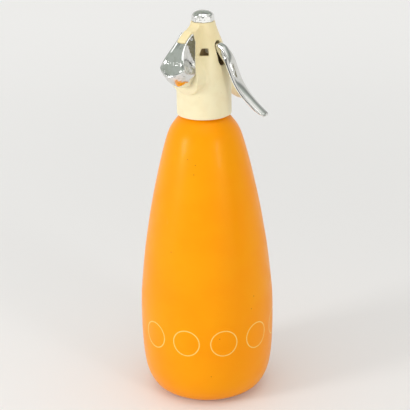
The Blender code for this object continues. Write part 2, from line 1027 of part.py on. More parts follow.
def make_lever():
    stations = lever_stations(lever_steps)
    lever = loft("lever", [lever_outer(*at) for at in stations], "chrome")
    half = lever_root_width / 2
    lobe = lever_lobe_radius
    outline = [
        (lever_pivot_x + lever_boss_radius, pivot_z - lever_boss_radius / 2),
        (lever_pivot_x + lever_boss_radius, pivot_z + lever_boss_radius * 0.6),
        (lever_pivot_x + lever_boss_radius / 2, pivot_z + lever_boss_radius),
        (lever_pivot_x - lever_boss_radius / 2, pivot_z + lever_boss_radius * 0.9),
        (lobe * 1.6, pivot_z + lobe * 0.6),
    ]
    for i in range(9):
        angle = math.radians(50) + math.radians(220) * i / 8
        outline.append((lobe * math.cos(angle), pivot_z + lobe * math.sin(angle)))
    outline.append((lever_pivot_x - lever_boss_radius / 2, pivot_z - lever_boss_radius))
    outline.append((lever_pivot_x + lever_boss_radius / 2, pivot_z - lever_boss_radius))
    fork = slab("fork_form", outline, -half, half, place=lever_plane())
    join(lever, fork)
    inner = lever_stations(channel_steps)
    hollow = [lever_channel(*at) for at in inner if at[2] <= lever_channel_share]
    cut(lever, loft("lever_channel", hollow))
    gap = stem_radius + 2 * clearance
    opening = slab(
        "fork_gap",
        (
            (-lobe - overrun, pivot_z - lever_root_depth),
            (stem_collar_radius + 2 * clearance, pivot_z - lever_root_depth),
            (stem_collar_radius + 2 * clearance, pivot_z + lever_root_depth),
            (-lobe - overrun, pivot_z + lever_root_depth),
        ),
        -gap,
        gap,
        place=lever_plane(),
    )
    cut(lever, opening)
    hole = rod(
        "lever_hole",
        lever_pin_radius + clearance,
        -lever_root_width,
        lever_root_width,
        place=across_y(lever_pivot_x, pivot_z),
    )
    cut(lever, hole)
    rod(
        "lever_pin",
        lever_pin_radius,
        -lever_pin_length / 2,
        lever_pin_length / 2,
        "steel",
        place=across_y(lever_pivot_x, pivot_z),
    )
    for name, side in (("lever_pin_clip_left", 1), ("lever_pin_clip_right", -1)):
        start = side * (lever_pin_length / 2 + clearance)
        low, high = sorted((start, start + side * clip_thickness))
        rod(name, clip_radius, low, high, "steel", place=across_y(lever_pivot_x, pivot_z))


def make_socket():
    """The parts in the head that take the charger's neck, stacked inward from the face."""
    face = socket_frame()
    bottom = -socket_depth - socket_base + clearance
    bore = socket_radius - socket_wall
    filter_bore = filter_radius + clearance
    gas_hole = check_ball_radius + clearance
    outline = (
        (gas_hole, bottom),
        (socket_radius, bottom),
        (socket_radius, -clearance),
        (bore, -clearance),
        (bore, -socket_depth),
        (filter_bore, -socket_depth),
        (filter_bore, -socket_depth - filter_thickness - clearance),
        (gas_hole, -socket_depth - filter_thickness - clearance),
    )
    turned("socket_insert", outline, "brass", mid_steps, face)
    rod(
        "gas_filter",
        filter_radius,
        -socket_depth - filter_thickness,
        -socket_depth,
        "steel",
        place=face,
    )
    base_low = -socket_depth + clearance
    base_top = base_low + pin_base_thickness
    pin_outline = (
        (0, base_low),
        (pin_base_radius, base_low),
        (pin_base_radius, base_top),
        (pin_radius, base_top),
        (pin_radius, base_top + pin_length - pin_radius * 2),
        (0, base_top + pin_length),
    )
    turned("piercing_pin", pin_outline, "steel", small_steps, face, closed=False)
    sleeve(
        "charger_seal",
        charger_seal_bore,
        pin_base_radius,
        base_top + clearance,
        base_top + clearance + charger_seal_thickness,
        "rubber",
        small_steps,
        face,
    )
    ball = bmesh.new()
    ball_z = -socket_depth - filter_thickness - 2 * clearance - check_ball_radius
    bmesh.ops.create_icosphere(ball, subdivisions=2, radius=check_ball_radius)
    finish(ball, "check_ball", "rubber", face @ Matrix.Translation((0, 0, ball_z)))


def cheek_outline():
    """Side view of the cheeks: round the hinge pin, then down into the holder's body."""
    outline = []
    radius = cheek_radius + clearance
    for i in range(9):
        angle = math.radians(75) + math.radians(180) * i / 8
        at_r = hinge_radial + radius * math.cos(angle)
        at_z = hinge_z + radius * math.sin(angle)
        outline.append((at_r, at_z))
    outline.append((hinge_radial + lug_reach, hinge_z - cheek_radius * 2.4))
    outline.append((hinge_radial + lug_reach * 1.12, hinge_z - cheek_radius * 0.3))
    return outline


def holder_side():
    """Side view that trims the holder: round the hinge pin, then down past the pod."""
    low = ceiling_z - skirt_wall
    outer = holder_radial + holder_radius + overrun
    outline = [(outer, low), (outer, hinge_z - lug_width)]
    outline.append((hinge_radial + lug_reach + clearance, hinge_z))
    for i in range(9):
        angle = math.radians(60) + math.radians(175) * i / 8
        at_r = hinge_radial + cheek_radius * math.cos(angle)
        at_z = hinge_z + cheek_radius * math.sin(angle)
        outline.append((at_r, at_z))
    for z in (hinge_z - lug_width, low):
        outline.append((pod_face_at(z) + 2 * clearance, z))
    return outline


def clevis_outline():
    """Side view of the space that the holder leaves round the lug as it swings."""
    reach = lug_reach + 2 * clearance
    outline = []
    for i in range(13):
        angle = math.radians(-120) + math.radians(230) * i / 12
        at_r = hinge_radial + reach * math.cos(angle)
        outline.append((at_r, hinge_z + reach * math.sin(angle)))
    outline.append((0, outline[-1][1]))
    outline.append((0, outline[0][1]))
    return outline


def make_holder():
    """The hinged die-cast holder, turned about a tilted axis and then scooped out."""
    frame = toward_charger(holder_radial, ceiling_z + holder_height, holder_tilt)
    outline = [
        (0, holder_dome),
        (holder_radius * 0.45, holder_dome * 0.82),
        (holder_radius * 0.8, holder_dome * 0.38),
        (holder_radius, -holder_dome * 0.2),
        (holder_radius, -holder_dome * 0.8),
        (holder_radius * 0.98, -holder_length * 0.3),
        ((holder_radius + holder_top_radius) / 2, -holder_length * 0.62),
        (holder_top_radius, -holder_length),
        (0, -holder_length - holder_dome),
    ]
    holder = turned("charger_holder", outline, "chrome", mid_steps, frame, closed=False)
    cheek_out = lug_width / 2 + clearance + cheek_width
    cheeks = slab("cheek_form", cheek_outline(), -cheek_out, cheek_out, place=side_plane())
    join(holder, cheeks)
    half = holder_radius + overrun
    keep(holder, slab("holder_side", holder_side(), -half, half, place=side_plane()))
    half_gap = lug_width / 2 + clearance
    gap = slab("clevis_gap", clevis_outline(), -half_gap, half_gap, place=side_plane())
    cut(holder, gap)
    bore = rod(
        "holder_bore",
        holder_bore_radius,
        -overrun,
        holder_bore_depth + clearance,
        steps=mid_steps,
        place=socket_frame(),
    )
    cut(holder, bore)
    dish = bmesh.new()
    bmesh.ops.create_uvsphere(dish, u_segments=28, v_segments=18, radius=dish_radius)
    out = Vector((0, -math.sin(holder_tilt), math.cos(holder_tilt)))
    centre = Vector((0, -holder_radial, ceiling_z + holder_height))
    inward = Vector((0, math.cos(holder_tilt), math.sin(holder_tilt)))
    middle = centre + inward * holder_length * 0.33
    dish_at = middle + out * (holder_radius * 0.86 - dish_depth + dish_radius)
    cut(holder, finish(dish, "dish_form", None, Matrix.Translation(dish_at)))
    for side in (-1, 1):
        scoop = bmesh.new()
        bmesh.ops.create_uvsphere(scoop, u_segments=24, v_segments=16, radius=scoop_radius)
        aside = out * math.cos(scoop_turn) + Vector((side * math.sin(scoop_turn), 0, 0))
        scoop_at = middle + inward * holder_length * 0.15
        scoop_at += aside * (holder_radius - scoop_depth + scoop_radius)
        name = "scoop_left" if side < 0 else "scoop_right"
        cut(holder, finish(scoop, name, None, Matrix.Translation(scoop_at)))
    hole = rod(
        "holder_pin_hole",
        hinge_pin_radius + clearance,
        -cheek_out - overrun,
        cheek_out + overrun,
        place=across_x(hinge_radial, hinge_z),
    )
    cut(holder, hole)
    rod(
        "holder_pin",
        hinge_pin_radius,
        -cheek_out,
        cheek_out,
        "steel",
        place=across_x(hinge_radial, hinge_z),
    )
    rod(
        "holder_pad",
        holder_bore_radius - clearance,
        holder_bore_depth - pad_thickness,
        holder_bore_depth,
        "rubber",
        place=socket_frame(),
    )


def main():
    for old in list(bpy.data.objects):
        bpy.data.objects.remove(old)
    make_bottle()
    make_head()
    make_neck_parts()
    make_valve()
    make_cap()
    make_tubes()
    make_lever()
    make_spout()
    make_socket()
    make_holder()


main()
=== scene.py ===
import math

import bmesh
import bpy
from mathutils import Matrix, Vector


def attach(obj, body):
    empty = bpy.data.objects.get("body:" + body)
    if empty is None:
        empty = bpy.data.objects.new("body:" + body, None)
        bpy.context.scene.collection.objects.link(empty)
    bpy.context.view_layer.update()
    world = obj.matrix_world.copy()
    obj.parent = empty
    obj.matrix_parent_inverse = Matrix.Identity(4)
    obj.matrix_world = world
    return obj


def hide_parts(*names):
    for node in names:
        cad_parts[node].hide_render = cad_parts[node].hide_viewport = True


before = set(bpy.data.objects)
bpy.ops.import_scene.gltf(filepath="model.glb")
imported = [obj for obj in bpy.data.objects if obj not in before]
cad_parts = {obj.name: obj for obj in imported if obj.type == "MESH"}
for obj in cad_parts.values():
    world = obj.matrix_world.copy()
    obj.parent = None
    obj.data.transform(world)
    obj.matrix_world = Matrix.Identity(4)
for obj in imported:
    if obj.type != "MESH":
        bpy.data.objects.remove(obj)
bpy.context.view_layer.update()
print("frame loaded")

mm = 0.001
fullTurn = math.tau


def rounded(points, steps):
    # an even, smooth row of points through the given ones
    points = [Vector(p) for p in points]
    ends = [2 * points[0] - points[1]] + points + [2 * points[-1] - points[-2]]
    fine = []
    for k in range(1, len(ends) - 2):
        a, b, c, d = ends[k - 1 : k + 3]
        for i in range(24):
            t = i / 24
            fine.append(
                0.5 * (2 * b + (c - a) * t + (2 * a - 5 * b + 4 * c - d) * t * t + (3 * b - a - 3 * c + d) * t ** 3)
            )
    fine.append(points[-1])
    lengths = [0]
    for a, b in zip(fine, fine[1:]):
        lengths.append(lengths[-1] + (b - a).length)
    row = []
    k = 0
    for i in range(steps + 1):
        at = lengths[-1] * i / steps
        while k < len(fine) - 2 and lengths[k + 1] < at:
            k += 1
        part = (at - lengths[k]) / max(lengths[k + 1] - lengths[k], 1e-12)
        row.append(fine[k].lerp(fine[k + 1], min(part, 1)))
    return row


def tidied(bm):
    bmesh.ops.remove_doubles(bm, verts=bm.verts, dist=0.002 * mm)
    bmesh.ops.recalc_face_normals(bm, faces=bm.faces)
    return bm


def spun(rows, steps, closed=False):
    # a profile of (radius, height) in mm, turned about Z
    bm = bmesh.new()
    verts = [bm.verts.new((r * mm, 0, z * mm)) for r, z in rows]
    edges = [bm.edges.new(pair) for pair in zip(verts, verts[1:])]
    if closed:
        edges.append(bm.edges.new((verts[-1], verts[0])))
    bmesh.ops.spin(
        bm, geom=verts + edges, cent=(0, 0, 0), axis=(0, 0, 1), angle=fullTurn, steps=steps, use_merge=True
    )
    return tidied(bm)


def slabFrom(outline, low, high, place):
    # a flat outline in mm, extruded from low to high and set in place
    bm = bmesh.new()
    face = bm.faces.new([bm.verts.new((a * mm, b * mm, low * mm)) for a, b in outline])
    grown = bmesh.ops.extrude_face_region(bm, geom=[face])["geom"]
    moved = [g for g in grown if isinstance(g, bmesh.types.BMVert)]
    bmesh.ops.translate(bm, verts=moved, vec=(0, 0, (high - low) * mm))
    bmesh.ops.transform(bm, matrix=place, verts=bm.verts)
    return tidied(bm)


def lofted(rings, capped=True):
    # bridges closed rings of points, one after another
    bm = bmesh.new()
    before = None
    for k, ring in enumerate(rings):
        verts = [bm.verts.new(p) for p in ring]
        loop = [bm.edges.new(pair) for pair in zip(verts, verts[1:] + verts[:1])]
        if before:
            bmesh.ops.bridge_loops(bm, edges=before + loop)
        if capped and k in (0, len(rings) - 1):
            bm.faces.new(verts)
        before = loop
    return tidied(bm)


def meshOf(bm, name):
    mesh = bpy.data.meshes.new(name)
    bm.to_mesh(mesh)
    bm.free()
    thing = bpy.data.objects.new(name, mesh)
    bpy.context.scene.collection.objects.link(thing)
    return thing


def carve(thing, bm, operation="DIFFERENCE"):
    # joins, cuts or trims with another solid, and keeps only the result
    tool = meshOf(bm, thing.name + "Tool")
    step = thing.modifiers.new("carve", "BOOLEAN")
    step.operation = operation
    step.solver = "EXACT"
    step.object = tool
    bake(thing)
    bpy.data.objects.remove(tool)


def bake(thing):
    graph = bpy.context.evaluated_depsgraph_get()
    mesh = bpy.data.meshes.new_from_object(thing.evaluated_get(graph))
    thing.modifiers.clear()
    thing.data = mesh


def soften(thing, voxel, rounds, strength=0.5):
    # melts the hard edges of a cast or moulded body
    remesh = thing.modifiers.new("remesh", "REMESH")
    remesh.mode = "VOXEL"
    remesh.voxel_size = voxel * mm
    smooth = thing.modifiers.new("smooth", "SMOOTH")
    smooth.factor = strength
    smooth.iterations = rounds
    bake(thing)


def finish(thing, material, body, nodes, sharp=None):
    thing.data.materials.clear()
    thing.data.materials.append(material)
    thing.data.polygons.foreach_set("use_smooth", [True] * len(thing.data.polygons))
    if sharp:
        thing.data.set_sharp_from_angle(angle=math.radians(sharp))
    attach(thing, body)
    if nodes:
        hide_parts(*nodes)
    print("piece", thing.name, len(thing.data.polygons), "faces")
    return thing


# planes that outlines are drawn on: (distance, height, sideways)
chargerSide = Matrix(((0, 0, 1, 0), (-1, 0, 0, 0), (0, 1, 0, 0), (0, 0, 0, 1)))
leverSide = Matrix(((1, 0, 0, 0), (0, 0, 1, 0), (0, 1, 0, 0), (0, 0, 0, 1)))
socketPlace = Matrix.Translation((0, -24.66 * mm, 287.0 * mm)) @ Matrix.Rotation(math.pi / 2 - math.atan(0.27), 4, "X")



def newFinish(name, color, roughness, metallic=0.0, **extra):
    material = bpy.data.materials.new(name)
    material.use_nodes = True
    tree = material.node_tree
    shader = tree.nodes["Principled BSDF"]
    shader.inputs["Base Color"].default_value = (*color, 1)
    shader.inputs["Roughness"].default_value = roughness
    shader.inputs["Metallic"].default_value = metallic
    for key, value in extra.items():
        shader.inputs[key.replace("_", " ")].default_value = value
    tree.nodes.new("ShaderNodeTexCoord").name = "where"
    return material, tree, shader


def node(tree, kind, values=None, **settings):
    made = tree.nodes.new("ShaderNode" + kind)
    for key, value in settings.items():
        setattr(made, key, value)
    for key, value in (values or {}).items():
        if hasattr(value, "is_output") or hasattr(value, "links"):
            tree.links.new(value, made.inputs[key])
        else:
            made.inputs[key].default_value = value
    return made


def objectPoint(tree, scale=(1, 1, 1), turn=(0, 0, 0)):
    spot = tree.nodes["where"].outputs["Object"]
    return node(tree, "Mapping", {"Vector": spot, "Scale": scale, "Rotation": turn}).outputs["Vector"]


def noiseOf(tree, scale, detail=3.0, rough=0.5, stretch=(1, 1, 1), turn=(0, 0, 0)):
    values = {"Vector": objectPoint(tree, stretch, turn), "Scale": scale, "Detail": detail, "Roughness": rough}
    return node(tree, "TexNoise", values).outputs["Fac"]


def ramp(tree, value, low, high, start=0.0, end=1.0):
    values = {"Value": value, "From Min": low, "From Max": high, "To Min": start, "To Max": end}
    return node(tree, "MapRange", values, interpolation_type="SMOOTHSTEP").outputs["Result"]


def calc(tree, operation, a, b=0.0, c=0.0):
    return node(tree, "Math", {0: a, 1: b, 2: c}, operation=operation).outputs[0]


def blendColor(tree, amount, first, second):
    made = node(tree, "Mix", data_type="RGBA")
    for key, value in ((0, amount), (6, first), (7, second)):
        if hasattr(value, "links"):
            tree.links.new(value, made.inputs[key])
        elif key == 0:
            made.inputs[key].default_value = value
        else:
            made.inputs[key].default_value = (*value, 1)
    return made.outputs[2]


def spots(tree, scale, size, chance, stretch=(1, 1, 1)):
    # scattered small marks: 1 in a mark, 0 elsewhere
    spot = objectPoint(tree, stretch)
    cells = node(tree, "TexVoronoi", {"Vector": spot, "Scale": scale, "Randomness": 1.0})
    near = ramp(tree, cells.outputs["Distance"], size * 0.6, size, 1.0, 0.0)
    split = node(tree, "SeparateColor", {0: cells.outputs["Color"]})
    some = calc(tree, "LESS_THAN", split.outputs[0], chance)
    return calc(tree, "MULTIPLY", near, some)


def bumped(tree, shader, height, strength, distance):
    values = {"Height": height, "Strength": strength, "Distance": distance * mm}
    tree.links.new(node(tree, "Bump", values).outputs["Normal"], shader.inputs["Normal"])


def makeLacquer():
    ring = {"count": 11, "height": 62.0, "radius": 11.25, "line": 0.42, "start": -40.0, "reach": 56.0, "missing": -138.2}
    material, tree, shader = newFinish(
        "orangeLacquer", (1.0, 0.33, 0.0), 0.34, Specular_IOR_Level=0.22, Specular_Tint=(1.0, 0.72, 0.38, 1.0), Coat_Weight=0.03
    )
    split = node(tree, "SeparateXYZ", {0: tree.nodes["where"].outputs["Object"]})
    x, y, z = split.outputs
    sector = fullTurn / ring["count"]
    angle = calc(tree, "SUBTRACT", calc(tree, "ARCTAN2", y, x), math.radians(ring["start"]))
    inSector = calc(tree, "WRAP", angle, sector / 2, -sector / 2)
    along = calc(tree, "MULTIPLY", inSector, ring["reach"])
    up = calc(tree, "SUBTRACT", calc(tree, "MULTIPLY", z, 1000.0), ring["height"])
    away = calc(tree, "SQRT", calc(tree, "ADD", calc(tree, "POWER", along, 2.0), calc(tree, "POWER", up, 2.0)))
    offLine = calc(tree, "ABSOLUTE", calc(tree, "SUBTRACT", away, ring["radius"]))
    circles = ramp(tree, offLine, ring["line"] * 0.75, ring["line"] * 1.25, 1.0, 0.0)
    worn = ramp(tree, noiseOf(tree, 900.0, 4.0), 0.30, 0.44)
    circles = calc(tree, "MULTIPLY", circles, ramp(tree, worn, 0.0, 1.0, 0.55, 1.0))
    fromGap = calc(tree, "SUBTRACT", calc(tree, "ARCTAN2", y, x), math.radians(ring["missing"]))
    printed = calc(tree, "GREATER_THAN", calc(tree, "ABSOLUTE", calc(tree, "WRAP", fromGap, math.pi, -math.pi)), sector / 2)
    circles = calc(tree, "MULTIPLY", circles, printed)
    patches = noiseOf(tree, 26.0, 3.0)
    orange = blendColor(tree, ramp(tree, patches, 0.3, 0.7), (1.0, 0.330, 0.0005), (1.0, 0.362, 0.0015))
    specks = spots(tree, 150.0, 0.10, 0.10)
    orange = blendColor(tree, calc(tree, "MULTIPLY", specks, 0.55), orange, (0.30, 0.085, 0.01))
    scuffs = ramp(tree, noiseOf(tree, 90.0, 6.0, 0.7, (1, 1, 0.25)), 0.68, 0.80)
    orange = blendColor(tree, calc(tree, "MULTIPLY", scuffs, 0.25), orange, (1.0, 0.50, 0.10))
    tree.links.new(blendColor(tree, circles, orange, (1.0, 0.66, 0.17)), shader.inputs["Base Color"])
    rough = ramp(tree, noiseOf(tree, 60.0, 5.0, 0.6), 0.3, 0.75, 0.30, 0.42)
    rough = calc(tree, "ADD", rough, calc(tree, "MULTIPLY", scuffs, 0.15))
    tree.links.new(rough, shader.inputs["Roughness"])
    peel = noiseOf(tree, 420.0, 2.0)
    marks = calc(tree, "MULTIPLY", calc(tree, "ADD", specks, circles), 0.6)
    bumped(tree, shader, calc(tree, "ADD", calc(tree, "MULTIPLY", peel, 0.35), marks), 0.35, 0.06)
    return material


def makeCream():
    material, tree, shader = newFinish(
        "creamPlastic", (0.90, 0.80, 0.53), 0.38, Subsurface_Weight=0.06, Subsurface_Scale=0.002
    )
    shader.inputs["Subsurface Radius"].default_value = (1.0, 0.6, 0.3)
    split = node(tree, "SeparateXYZ", {0: tree.nodes["where"].outputs["Object"]})
    height = calc(tree, "ADD", split.outputs[2], calc(tree, "MULTIPLY", noiseOf(tree, 45.0), 0.012))
    aged = ramp(tree, height, 0.272, 0.318)
    tone = blendColor(tree, aged, (0.93, 0.835, 0.55), (0.90, 0.765, 0.44))
    cloud = ramp(tree, noiseOf(tree, 110.0, 4.0), 0.45, 0.72)
    tone = blendColor(tree, calc(tree, "MULTIPLY", cloud, 0.18), tone, (0.78, 0.60, 0.30))
    dots = spots(tree, 420.0, 0.16, 0.05)
    tone = blendColor(tree, calc(tree, "MULTIPLY", dots, 0.5), tone, (0.42, 0.27, 0.10))
    # painted shade: dark brown inside the slot and the pin pockets, where shade falls, measured in from the outer cone
    flat = node(tree, "CombineXYZ", {0: split.outputs[0], 1: split.outputs[1], 2: 0.0}).outputs[0]
    radius = node(tree, "VectorMath", {0: flat}, operation="LENGTH").outputs["Value"]
    outer = calc(tree, "ADD", calc(tree, "MULTIPLY", calc(tree, "SUBTRACT", split.outputs[2], 0.2865), -0.262), 0.0199)
    inside = ramp(tree, calc(tree, "SUBTRACT", outer, radius), 0.0007, 0.0020)
    level = ramp(tree, calc(tree, "ABSOLUTE", calc(tree, "SUBTRACT", split.outputs[2], 0.294)), 0.0080, 0.0098, 1.0, 0.0)
    paintedPocketShade = calc(tree, "MULTIPLY", inside, level)
    # the pockets' painted shade, blended over the cream
    tone = blendColor(tree, calc(tree, "MULTIPLY", paintedPocketShade, 0.9), tone, (0.16, 0.095, 0.03))
    tree.links.new(tone, shader.inputs["Base Color"])
    fine = noiseOf(tree, 700.0, 3.0)
    tree.links.new(ramp(tree, noiseOf(tree, 160.0, 5.0), 0.3, 0.7, 0.32, 0.46), shader.inputs["Roughness"])
    bumped(tree, shader, calc(tree, "SUBTRACT", calc(tree, "MULTIPLY", fine, 0.4), dots), 0.25, 0.05)
    return material


def makeChrome(name, pitting, haze):
    material, tree, shader = newFinish(name, (0.80, 0.80, 0.77), 0.10, 1.0)
    film = ramp(tree, noiseOf(tree, 120.0, 5.0, 0.6), 0.45, 0.75)
    tone = blendColor(tree, calc(tree, "MULTIPLY", film, haze), (0.82, 0.82, 0.80), (0.55, 0.56, 0.46))
    pits = spots(tree, 800.0, 0.36, pitting)
    grains = spots(tree, 2200.0, 0.30, pitting * 1.5)
    allPits = calc(tree, "MAXIMUM", pits, grains)
    patchy = ramp(tree, noiseOf(tree, 150.0, 2.0), 0.36, 0.52)
    allPits = calc(tree, "MULTIPLY", allPits, patchy)
    tree.links.new(blendColor(tree, allPits, tone, (0.10, 0.10, 0.085)), shader.inputs["Base Color"])
    rough = calc(tree, "ADD", ramp(tree, film, 0.0, 1.0, 0.07, 0.07 + 0.25 * haze), calc(tree, "MULTIPLY", allPits, 0.45))
    tree.links.new(rough, shader.inputs["Roughness"])
    wave = noiseOf(tree, 70.0, 2.0)
    bumped(tree, shader, calc(tree, "SUBTRACT", calc(tree, "MULTIPLY", wave, 0.6), allPits), 0.3, 0.05)
    return material


def makeTurned(name, light, dark, roughness, scale=1800.0):
    # turned metal: fine rings and a little tarnish
    material, tree, shader = newFinish(name, light, roughness, 1.0)
    lines = noiseOf(tree, scale, 2.0, 0.5, (0.05, 0.05, 1))
    tarnish = ramp(tree, noiseOf(tree, 200.0, 4.0), 0.4, 0.75)
    tree.links.new(blendColor(tree, calc(tree, "MULTIPLY", tarnish, 0.6), light, dark), shader.inputs["Base Color"])
    tree.links.new(ramp(tree, tarnish, 0.0, 1.0, roughness, roughness + 0.18), shader.inputs["Roughness"])
    bumped(tree, shader, lines, 0.3, 0.02)
    return material


def makeMatte(name, light, dark, roughness, scale=500.0, **extra):
    material, tree, shader = newFinish(name, light, roughness, 0.0, **extra)
    cloud = ramp(tree, noiseOf(tree, scale, 5.0, 0.6), 0.35, 0.7)
    tree.links.new(blendColor(tree, cloud, light, dark), shader.inputs["Base Color"])
    tree.links.new(ramp(tree, cloud, 0.0, 1.0, roughness, roughness + 0.12), shader.inputs["Roughness"])
    bumped(tree, shader, noiseOf(tree, scale * 3, 3.0), 0.3, 0.03)
    return material


orangeLacquer = makeLacquer()
creamPlastic = makeCream()
castChrome = makeChrome("castChrome", 0.26, 0.55)
leverChrome = makeChrome("leverChrome", 0.03, 0.30)
capChrome = makeChrome("capChrome", 0.34, 0.55)
turnedBrass = makeTurned("turnedBrass", (0.78, 0.56, 0.24), (0.45, 0.28, 0.10), 0.24)
turnedSteel = makeTurned("turnedSteel", (0.62, 0.62, 0.61), (0.40, 0.39, 0.37), 0.24)
springSteel = makeTurned("springSteel", (0.58, 0.58, 0.58), (0.32, 0.31, 0.30), 0.30, 600.0)
plainAluminium = makeTurned("plainAluminium", (0.74, 0.74, 0.75), (0.55, 0.55, 0.56), 0.34)
blackRubber = makeMatte("blackRubber", (0.035, 0.033, 0.032), (0.07, 0.065, 0.06), 0.62)
milkyTube = makeMatte(
    "milkyTube", (0.80, 0.82, 0.80), (0.70, 0.73, 0.71), 0.30, 90.0, Subsurface_Weight=0.2, Subsurface_Scale=0.002
)
print("materials made")


bottle = {
    "rows": (
        (33.0, 0.0), (39.9, 1.7), (46.2, 6.0), (50.0, 12.0), (52.4, 18.4), (54.0, 26.0), (55.2, 37.0),
        (55.9, 52.0), (56.1, 70.0), (55.7, 86.0), (54.4, 101.0), (52.8, 116.0), (50.9, 131.0), (48.7, 145.0),
        (46.2, 160.0), (43.5, 174.0), (40.5, 188.0), (37.3, 202.0), (33.7, 216.0), (30.4, 227.0),
        (27.8, 233.0), (25.2, 236.8), (22.4, 240.4), (20.0, 242.8),
    ),
    "neckRadius": 17.1,
    "neckTop": 262.0,
    "boreRadius": 14.5,
    "wall": 1.6,
    "turns": 3,
    "pitch": 3.0,
    "threadLow": 249.5,
    "segments": 128,
}


def makeBottle():
    outer = [(p.x, p.y) for p in rounded([(r, z, 0) for r, z in bottle["rows"]], 84)]
    neck = bottle["neckRadius"]
    outer += [(18.4, 244.2), (neck + 0.3, 245.6), (neck, 246.6), (neck, bottle["neckTop"] - 0.4)]
    outer.append((neck - 0.4, bottle["neckTop"]))
    wall = bottle["wall"]
    inner = []
    for k in range(2, 84, 3):
        before, after = Vector(outer[k - 1]), Vector(outer[k + 1])
        along = (after - before).normalized()
        spot = (outer[k][0] - along.y * wall, max(outer[k][1] + along.x * wall, wall))
        if spot[0] > bottle["boreRadius"] + 1.5:
            inner.append(spot)
    inner += [(bottle["boreRadius"], 248.0), (bottle["boreRadius"], bottle["neckTop"])]
    foot = [(0, wall), (0, 0.3), (26.4, 0.3), (26.8, 0), (26.9, 0.5), (27.4, 0.9), (29.4, 0.9), (29.8, 0.5), (30.2, 0)]
    body = meshOf(spun(foot + outer + inner[::-1] + [(0, wall)], bottle["segments"]), "bottleShell")
    bm = bmesh.new()
    low, reach, crest = bottle["threadLow"], neck - 0.6, neck + 1.1
    section = ((reach, -0.95), (crest - 0.15, -0.42), (crest, -0.25), (crest, 0.25), (crest - 0.15, 0.42), (reach, 0.95))
    verts = [bm.verts.new((r * mm, 0, (z + low) * mm)) for r, z in section]
    ring = [bm.edges.new(pair) for pair in zip(verts, verts[1:] + verts[:1])]
    steps = 64 * bottle["turns"]
    bmesh.ops.spin(
        bm, geom=verts + ring, cent=(0, 0, 0), axis=(0, 0, 1), dvec=(0, 0, bottle["pitch"] / 64 * mm),
        angle=fullTurn * bottle["turns"], steps=steps,
    )
    bmesh.ops.holes_fill(bm, edges=[e for e in bm.edges if e.is_boundary])
    carve(body, tidied(bm), "UNION")
    return finish(body, orangeLacquer, "bottle", ["bottle"], 50)


makeBottle()


head = {
    "skirt": 22.3,
    "rim": 244.6,
    "top": 320.9,
    "crown": (
        (22.3, 269.0), (21.9, 275.0), (21.1, 280.5), (19.9, 286.5), (18.0, 295.0), (15.5, 303.3),
        (12.5, 311.2), (10.6, 316.9), (9.55, 320.9),
    ),
    "voxel": 0.52,
    "melt": 6,
    "podHalf": ((0.4, 265.6), (5.0, 266.2), (8.8, 268.2), (12.0, 271.6), (13.5, 275.6), (13.3, 280.0), (11.6, 285.2),
                (8.3, 291.6), (6.3, 298.0), (5.1, 305.0), (4.7, 311.0), (4.5, 316.0), (4.3, 320.6)),
    "podSide": ((0.0, 262.0), (20.5, 262.0), (22.6, 265.2), (25.3, 269.6), (27.0, 274.2), (27.4, 277.5), (26.3, 281.3),
                (18.0, 312.0), (17.4, 315.6), (12.6, 318.2), (9.9, 320.4), (0.0, 320.4)),
    "podDraft": 1.10,
    "lugHalf": 3.8,
    "hinge": (23.5, 311.5),
    "pinHole": 1.15,
    "slotHalf": 4.35,
    "windowX": 9.8,
    "windowZ": 299.2,
}


def podForm():
    # a teardrop seen from the front, drafted towards the head's axis, then trimmed from the side
    right = [(x, z) for x, z in head["podHalf"]]
    outline = right + [(-x, z) for x, z in reversed(right)]
    rings = []
    middle = 285.0
    for depth, grow in ((33.0, 0.97), (20.0, 1.04), (10.0, head["podDraft"])):
        rings.append([Vector((x * grow * mm, -depth * mm, (middle + (z - middle) * (1 + (grow - 1) * 0.35)) * mm)) for x, z in outline])
    solid = meshOf(lofted(rings), "podForm")
    carve(solid, slabFrom(head["podSide"], -24, 24, chargerSide), "INTERSECT")
    bm = bmesh.new()
    bm.from_mesh(solid.data)
    bpy.data.objects.remove(solid)
    return bm


def lugForm():
    atR, atZ = head["hinge"]
    rows = [(8.9, 320.6), (9.9, 320.5), (13.4, 318.2), (17.2, 316.8), (20.3, 316.2), (28.9, 310.4)]
    for k in range(13):
        angle = math.radians(-16 - 95 * k / 12)
        rows.append((atR + 6.0 * math.cos(angle), atZ + 6.0 * math.sin(angle)))
    rows += [(8.9, 301.5)]
    half = head["lugHalf"]
    return slabFrom(rows, -half, half, chargerSide)


def pinRod(radius, half):
    # a plain rod along the hinge of the charger holder
    atR, atZ = head["hinge"]
    rod = spun([(0, -half), (radius, -half), (radius, half), (0, half)], 40)
    place = Matrix.Translation((0, -atR * mm, atZ * mm)) @ Matrix.Rotation(math.pi / 2, 4, "Y")
    bmesh.ops.transform(rod, matrix=place, verts=rod.verts)
    return rod


